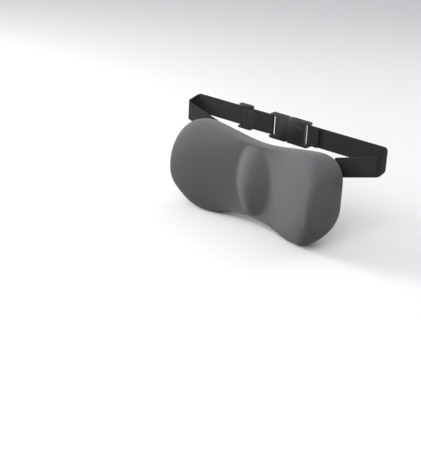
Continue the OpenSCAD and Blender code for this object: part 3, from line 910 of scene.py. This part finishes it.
def openBack(piece, flat):
    # takes out the flat back and turns the rim in as a seam
    shape = bmesh.new()
    shape.from_mesh(piece.data)
    shape.verts.ensure_lookup_table()
    gone = [f for f in shape.faces if all(v.index in flat for v in f.verts)]
    bmesh.ops.delete(shape, geom=gone, context="FACES")
    rim = {v for e in shape.edges if e.is_boundary for v in e.verts}
    for v in rim:
        v.co.y = -coverSettings["seamDip"]
    shape.to_mesh(piece.data)
    shape.free()


cover, coverFlat = cushionForm("cover", coverSettings["startInset"])
inflate(cover, coverFlat, coverSettings)
openBack(cover, coverFlat)
cover.modifiers.new("smooth", "SUBSURF").levels = 1
cover.modifiers["smooth"].render_levels = 1
thicken(cover, coverSettings["thickness"])
settle(cover)
coat(cover, coverFabric)
finishPiece(cover, "cover_fabric", ["cover_front"])
print("cover done")


# foam core and liner inside

innerSettings = {"linerInset": 0.0042, "foamInset": 0.0052}


def innerForm(name, inset, material, slotName, nodes):
    piece, _ = cushionForm(name, inset)
    settle(piece)
    coat(piece, material)
    return finishPiece(piece, slotName, nodes)


innerForm("liner", innerSettings["linerInset"], linerFabric, "liner",
          ["liner_front", "liner_back"])
foamCore = innerForm("foamCore", innerSettings["foamInset"], foamMaterial, "foam", ["foam_core"])
print("liner and foam done")


# back panels

zipSettings = {
    "height": -0.020,
    "half": 0.124,
    "gapHalf": 0.006,
    "gapEnd": 0.1285,
    "gapTaper": 0.0012,
    "tapeWidth": 0.010,
    "toothPitch": 0.0018,
}

panelSettings = {
    "columns": 96,
    "rows": 18,
    "thickness": 0.0011,
    "puff": 0.0006,
    "puffRun": 0.020,
    "puffZipRun": 0.012,
    "seamDip": 0.0011,
    "seamRun": 0.0022,
    "foldDip": 0.0003,
    "foldRun": 0.0016,
    "stitchInset": 0.0042,
    "stitchLift": -0.0001,
    "cornerCut": 0.002,
}


def zipEdge(x, side):
    # height of a panel's edge along the zip; past the zip the panels meet
    z = zipSettings
    gap = z["gapHalf"] * ease((z["gapEnd"] + z["gapTaper"] - abs(x)) / (2 * z["gapTaper"]))
    closedGap = 0.00012
    return z["height"] + side * max(gap, closedGap)


def makePanel(name, side, nodeName):
    p = panelSettings
    half = cushionShape["backFlat"]
    columns = list(np.linspace(-half, half, p["columns"] + 1))
    for sign in (-1, 1):
        # closer columns where the zip's gap closes and at the side seams
        columns += [sign * (zipSettings["gapEnd"] + d) for d in (-0.0012, -0.0006, 0, 0.0006, 0.0012)]
        columns += [sign * (half - d) for d in (0.0008, 0.0016)]
    xs = sorted(set(columns))
    points, flatMap = [], []
    shares = [0, 0.012, 0.03] + list(np.linspace(0.06, 0.94, p["rows"])) + [0.97, 0.988, 1]
    for x in xs:
        near, far = zipEdge(x, side), side * flatHalfHeight(x)
        for share in shares:
            z = near + (far - near) * share
            toEdge = min(half - abs(x), abs(far - z))
            toZip = abs(z - near)
            dip = p["seamDip"] * (1 - ease(toEdge / p["seamRun"]))
            fold = p["foldDip"] * (1 - ease(toZip / p["foldRun"]))
            puff = p["puff"] * ease(toEdge / p["puffRun"]) * ease(toZip / p["puffZipRun"])
            points.append((x, -dip - fold - p["puff"] + puff, z))
            flatMap.append((x, z))
    faces = gridFaces(len(xs), len(shares), side > 0)
    piece = meshPiece(name, points, faces)
    setClothMap(piece, [flatMap[c] for f in faces for c in f])
    thicken(piece, p["thickness"])
    settle(piece, 50)
    coat(piece, backFabric)
    return finishPiece(piece, "back_fabric", [nodeName])


makePanel("backPanelUpper", 1, "back_panel_upper")
makePanel("backPanelLower", -1, "back_panel_lower")

stitchSettings = {
    "length": 0.0026, "width": 0.00055, "height": 0.00045,
    "spacing": 0.0034,
    "sway": 0.05,
}
stitchUnit = unitShape("stitchUnit", [stitchSettings[k] for k in ("length", "width", "height")])


def sew(name, paths, nodes=(), up=(0, 1, 0), body="cushion"):
    piece = grow(name, paths, repeatTree, {
        "Unit": stitchUnit, "Spacing": stitchSettings["spacing"], "Up": up,
        "Unevenness": stitchSettings["sway"], "Seed": 3, "Material": sewingThread,
    })
    return finishPiece(piece, "thread", nodes, body)


def panelSeamPath(side):
    # a row of topstitching just inside a panel's three sewn edges
    p = panelSettings
    half = cushionShape["backFlat"] - p["stitchInset"]
    lift = p["stitchLift"]
    zipLine = zipSettings["height"] + side * 0.004
    corner = side * (flatHalfHeight(half) - p["stitchInset"] - p["cornerCut"])
    path = [(-half, lift, zipLine), (-half, lift, corner)]
    for x in np.linspace(-half + 0.003, half - 0.003, 50):
        path.append((x, lift, side * (flatHalfHeight(x) - p["stitchInset"])))
    return path + [(half, lift, corner), (half, lift, zipLine)]


def zipSeamPath(side, out):
    z = zipSettings["height"] + side * (zipSettings["gapHalf"] + out)
    reach = zipSettings["gapEnd"] - 0.002
    return [(-reach, -0.00025, z), (reach, -0.00025, z)]


zipSeam = 0.0022
panelSeams = [panelSeamPath(side) for side in (1, -1)]
sew("panelStitches", panelSeams + [zipSeamPath(side, zipSeam) for side in (1, -1)])
print("back panels done")


# zip

tapeSettings = {
    "front": -0.0013, "inner": 0.00035, "thickness": 0.00035,
    "bead": 0.00022, "rib": 0.00005,
    "columns": 248, "overhang": 0.0034,
}


def makeTape(name, side, nodeName):
    # woven tape with a bead along its inner edge and slight cross ribs
    t = tapeSettings
    reach = zipSettings["half"] + t["overhang"]
    points = []
    xs = np.linspace(-reach, reach, t["columns"] + 1)
    beadWidths = (0.0004, 0.0009)
    widths = [0, *beadWidths, 0.0014, 0.0030, 0.0046, 0.0062, 0.0078, 0.0094, zipSettings["tapeWidth"]]
    for i, x in enumerate(xs):
        for w in widths:
            bead = t["bead"] if w in beadWidths else 0.0
            y = t["front"] - t["bead"] + bead - t["rib"] * (i % 2)
            points.append((x, y, zipSettings["height"] + side * (t["inner"] + w)))
    piece = meshPiece(name, points, gridFaces(len(xs), len(widths), side > 0))
    thicken(piece, t["thickness"])
    settle(piece, 40)
    coat(piece, tapeFabric)
    return finishPiece(piece, "zip_tape", [nodeName])


makeTape("zipTapeUpper", 1, "zipper_tape_upper")
makeTape("zipTapeLower", -1, "zipper_tape_lower")


def toothShape(name, side):
    # one turn of the coil: a bar across the tape with a rounded head past the middle line
    # each ring, in millimetres: where it stands, its half width and its half height
    rings = [(-2.4, 0.30, 0.25), (-2.1, 0.42, 0.62), (-0.4, 0.36, 0.72),
             (0.1, 0.52, 0.74), (0.42, 0.40, 0.45)]

    def ringPoint(ring, turn):
        along, wide, tall = (value / 1000 for value in ring)
        return wide * math.cos(turn), side * along, tall * math.sin(turn)

    return lathedBar(name, ringPoint, rings)


def makeTeeth(name, side, nodeName):
    z = zipSettings
    unit = toothShape(name + "Unit", side)
    shift = 0.0 if side > 0 else z["toothPitch"] / 2
    lineY = -0.00045
    first, last = -z["half"] + 0.0006 + shift, z["half"] - 0.0026
    path = [(first, lineY, z["height"]), (last, lineY, z["height"])]
    piece = grow(name, [path], repeatTree, {
        "Unit": unit, "Spacing": z["toothPitch"], "Up": (0, 1, 0),
        "Unevenness": 0.01, "Seed": 8, "Material": zipNylon,
    })
    bpy.data.objects.remove(unit)
    return finishPiece(piece, "zip_coil", [nodeName])


makeTeeth("zipTeethUpper", 1, "zipper_coil_upper")
makeTeeth("zipTeethLower", -1, "zipper_coil_lower")


# hard parts: the CAD shapes with moulded edges

def softenedCopy(name, nodeName, material, slotName, body, bevelWidth, segments=2):
    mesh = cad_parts[nodeName].data.copy()
    piece = bpy.data.objects.new(name, mesh)
    scene.collection.objects.link(piece)
    shape = bmesh.new()
    shape.from_mesh(mesh)
    bmesh.ops.remove_doubles(shape, verts=shape.verts, dist=0.000002)
    bmesh.ops.dissolve_limit(shape, angle_limit=math.radians(3), verts=shape.verts, edges=shape.edges)
    shape.to_mesh(mesh)
    shape.free()
    bevel = piece.modifiers.new("edges", "BEVEL")
    bevel.width = bevelWidth
    bevel.segments = segments
    bevel.limit_method = "ANGLE"
    bevel.angle_limit = math.radians(38)
    bevel.miter_outer = "MITER_ARC"
    settle(piece, 42)
    coat(piece, material)
    return finishPiece(piece, slotName, [nodeName], body)


hardParts = [
    ("zipStopLeft", "zipper_stop_left", zipMetal, "zip_metal", "cushion", 0.0003),
    ("zipStopRight", "zipper_stop_right", zipMetal, "zip_metal", "cushion", 0.0003),
    ("zipSlider", "zipper_slider", zipMetal, "zip_metal", "zip_slider", 0.0003),
    ("zipPull", "zipper_pull", zipMetal, "zip_metal", "zip_pull", 0.0003),
    ("strapAdjuster", "strap_adjuster", bucklePlastic, "buckle_plastic", "adjuster", 0.0006),
    ("buckleSocket", "buckle_receptacle", bucklePlastic, "buckle_plastic", "cushion", 0.0008),
    ("bucklePlug", "buckle_plug", bucklePlastic, "buckle_plastic", "cushion", 0.0006),
    ("releaseUpper", "buckle_prong_upper", bucklePlastic, "buckle_plastic", "release_upper", 0.0006),
    ("releaseLower", "buckle_prong_lower", bucklePlastic, "buckle_plastic", "release_lower", 0.0006),
]
for partName, nodeName, material, slotName, body, bevelWidth in hardParts:
    softenedCopy(partName, nodeName, material, slotName, body, bevelWidth)

gripSettings = {
    "bar": (0.026, 0.0013, 0.0007), "spacing": 0.0026, "from": 0.0265, "to": 0.0400,
    "armBar": (0.0048, 0.0010, 0.0006), "armSpacing": 0.0019, "armFrom": 0.0245, "armTo": 0.0325,
}


def addGrip(name, path, unitSize, spacing, up, body):
    # a row of raised moulded bars across the path
    unit = unitShape(name + "Unit", unitSize)
    unit.data.transform(Matrix.Rotation(math.pi / 2, 4, "Z"))
    piece = grow(name, [path], repeatTree, {
        "Unit": unit, "Spacing": spacing, "Up": up, "Unevenness": 0.0, "Seed": 1,
        "Material": bucklePlastic,
    })
    bpy.data.objects.remove(unit)
    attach(piece, body)
    return piece


grip = gripSettings
buckleLow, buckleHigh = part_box("buckle_receptacle")
buckleZ = (buckleLow.z + buckleHigh.z) / 2
for label, faceY, up in (("Back", buckleHigh.y, (0, 1, 0)), ("Front", buckleLow.y, (0, -1, 0))):
    addGrip("socketGrip" + label, [(grip["from"], faceY, buckleZ), (grip["to"], faceY, buckleZ)],
            grip["bar"], grip["spacing"], up, "cushion")
for side, word in ((1, "upper"), (-1, "lower")):
    low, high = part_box("buckle_prong_" + word)
    faceZ = high.z if side > 0 else low.z
    midY = (low.y + high.y) / 2
    armPath = [(grip["armFrom"], midY, faceZ - side * 0.0001), (grip["armTo"], midY, faceZ - side * 0.0006)]
    addGrip("releaseGrip" + word.capitalize(), armPath, grip["armBar"], grip["armSpacing"],
            (0, 0, side), "release_" + word)
print("zip and hard parts done")


# straps

strapSettings = {
    "width": 0.038, "thickness": 0.0014, "ribs": 22, "ribHeight": 0.00016,
    "reach": 0.228, "edgeHeight": 0.075, "slope": 0.28, "turn": 0.008,
    "rearHeight": 0.084, "rearDepth": 0.030, "frontDepth": 0.00095,
    "seamX": 0.1374, "seamY": -0.0006,
    "loopRadius": 0.0019,
    "plugBar": -0.030, "socketBar": 0.054, "sewnLength": 0.024, "adjusterBar": -0.098,
    "barGap": 0.0003, "turnSteps": 12,
    "step": 0.004,
}


def runHeight(x):
    s = strapSettings
    return s["edgeHeight"] - s["slope"] * (s["reach"] - x)


def fillIn(points, step):
    # adds points on the straights
    found = [points[0]]
    for a, b in zip(points, points[1:]):
        a, b = Vector(a), Vector(b)
        parts = max(1, math.ceil((b - a).length / step))
        found += [tuple(a.lerp(b, k / parts)) for k in range(1, parts + 1)]
    return found


def strapRoute(barX):
    # from the side seam, round the backrest's edge and back to a bar, for the +X side
    s = strapSettings
    turnX = s["reach"] - s["thickness"] / 2 - s["turn"]
    rear, front, turn = s["rearDepth"], s["frontDepth"], s["turn"]
    points = [(s["seamX"], s["seamY"], runHeight(s["seamX"]))]
    points += [(x, front, runHeight(x)) for x in (0.144, 0.160, 0.180, 0.200)]
    steps = s["turnSteps"]
    for i in range(steps + 1):
        a = -math.pi / 2 + math.pi / 2 * i / steps
        height = runHeight(turnX + turn * i / steps)
        points.append((turnX + turn * math.cos(a), front + turn * (1 + math.sin(a)), height))
    for i in range(1, steps + 1):
        a = math.pi / 2 * i / steps
        lift = (s["rearHeight"] - s["edgeHeight"]) * (2 + 4 * i / steps) / 6
        points.append((turnX + turn * math.cos(a), rear - turn * (1 - math.sin(a)), s["edgeHeight"] + lift))
    points += [(x, rear, s["rearHeight"]) for x in (turnX - 0.030, turnX - 0.080, barX)]
    centre = rear - s["loopRadius"]
    for i in range(1, steps + 1):
        a = math.pi / 2 + math.pi * i / steps
        points.append((barX + s["loopRadius"] * math.cos(a), centre + s["loopRadius"] * math.sin(a),
                       s["rearHeight"]))
    return points


def makeBand(name, points, nodeName, body=None):
    s = strapSettings
    piece = grow(name, [fillIn(points, s["step"])], bandTree, {
        "Width": s["width"], "Thickness": s["thickness"], "Ribs": s["ribs"],
        "Rib Height": s["ribHeight"], "Material": elastic,
    })
    faceOutwards(piece)
    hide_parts(nodeName)
    if body:
        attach(piece, body)
    return piece


returnY = strapSettings["rearDepth"] - 2 * strapSettings["loopRadius"]
rearZ = strapSettings["rearHeight"]
rightTail = [(strapSettings["socketBar"] + d, returnY, rearZ) for d in (0.006, strapSettings["sewnLength"])]
makeBand("strapRight", strapRoute(strapSettings["socketBar"]) + rightTail, "strap_right", "cushion")
leftRoute = [(-x, y, z) for x, y, z in strapRoute(-strapSettings["plugBar"])]
makeBand("strapLeft", leftRoute, "strap_left", "cushion")


def returnRoute():
    s = strapSettings
    barY = returnY - s["barGap"]
    under = barY - s["loopRadius"]
    bar = s["adjusterBar"]
    points = [(s["plugBar"] - 0.0001, returnY, rearZ), (s["plugBar"] - 0.006, returnY, rearZ)]
    points += [(bar + 0.028, under, rearZ), (bar, under, rearZ)]
    for i in range(1, s["turnSteps"] + 1):
        a = -math.pi / 2 - math.pi * i / s["turnSteps"]
        points.append((bar + s["loopRadius"] * math.cos(a), barY + s["loopRadius"] * math.sin(a), rearZ))
    above = under + s["thickness"] + 0.0001
    return points + [(bar + d, above, rearZ) for d in (0.008, 0.024)]


strapReturn = makeBand("strapReturn", returnRoute(), "strap_left_return")
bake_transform(strapReturn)
print("straps done")


# stitching on the straps

def boxPaths(x, y, z, long, tall):
    # a sewn box with its crossed diagonals
    left, right, low, high = x - long / 2, x + long / 2, z - tall / 2, z + tall / 2
    corners = [(left, y, low), (right, y, low), (right, y, high), (left, y, high)]
    return [corners + corners[:1], [corners[0], corners[2]], [corners[1], corners[3]]]


seamSettings = {
    "anchorRows": (0.147, 0.151), "anchorHalf": 0.016,
    "boxHeight": 0.030, "rightBoxAt": 0.069, "rightBoxLong": 0.014,
    "leftBoxAt": -0.082, "leftBoxLong": 0.010,
    "proud": 0.0001,
}
seams = seamSettings
overBand = strapSettings["thickness"] / 2 + seams["proud"]
backFace = strapSettings["frontDepth"] + overBand
for side, sideName in ((-1, "left"), (1, "right")):
    rows = []
    for x in seams["anchorRows"]:
        z = runHeight(x)
        rows.append([(side * x, backFace, z + d) for d in (-seams["anchorHalf"], seams["anchorHalf"])])
    sew("anchorStitches" + sideName.capitalize(), rows, ["stitch_anchor_" + sideName])
outerFace = strapSettings["rearDepth"] + overBand
rightBox = boxPaths(seams["rightBoxAt"], outerFace, rearZ, seams["rightBoxLong"], seams["boxHeight"])
sew("loopStitchesRight", rightBox, ["stitch_loop_right"])
innerFace = returnY - strapSettings["barGap"] - strapSettings["loopRadius"] - overBand
leftBox = boxPaths(seams["leftBoxAt"], innerFace, rearZ, seams["leftBoxLong"], seams["boxHeight"])
sew("loopStitchesLeft", leftBox, ["stitch_loop_left"], up=(0, -1, 0), body="adjuster")
bpy.data.objects.remove(stitchUnit)
print("stitching done")


# floor

floorSettings = {
    "size": 8.0, "drop": 0.0005,
    "dark": (0.82, 0.82, 0.82), "light": (0.87, 0.87, 0.87),
}


def makeFloor(s):
    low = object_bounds()[0].z - s["drop"]
    half = s["size"] / 2
    corners = [(-half, -half, low), (half, -half, low), (half, half, low), (-half, half, low)]
    floor = meshPiece("floor", corners, [(0, 1, 2, 3)])
    material, tree, shader = startMaterial("paleFloor", {"Roughness": 0.8, "Specular IOR Level": 0.2})
    objectSpace = addNode(tree, "ShaderNodeTexCoord").outputs["Object"]
    mottle = useGroup(tree, mottleGroup,
                      {"Coordinates": objectSpace, "Broad Scale": 0.8, "Fine Scale": 6.0})
    tree.links.new(blendColours(tree, mottle["Broad"], s["dark"], s["light"]),
                   shader.inputs["Base Color"])
    coat(floor, material)
    floor.visible_diffuse = False  # the sky's dim lower half stands in for the floor's glow
    floor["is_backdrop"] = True


makeFloor(floorSettings)

print("all pieces placed")
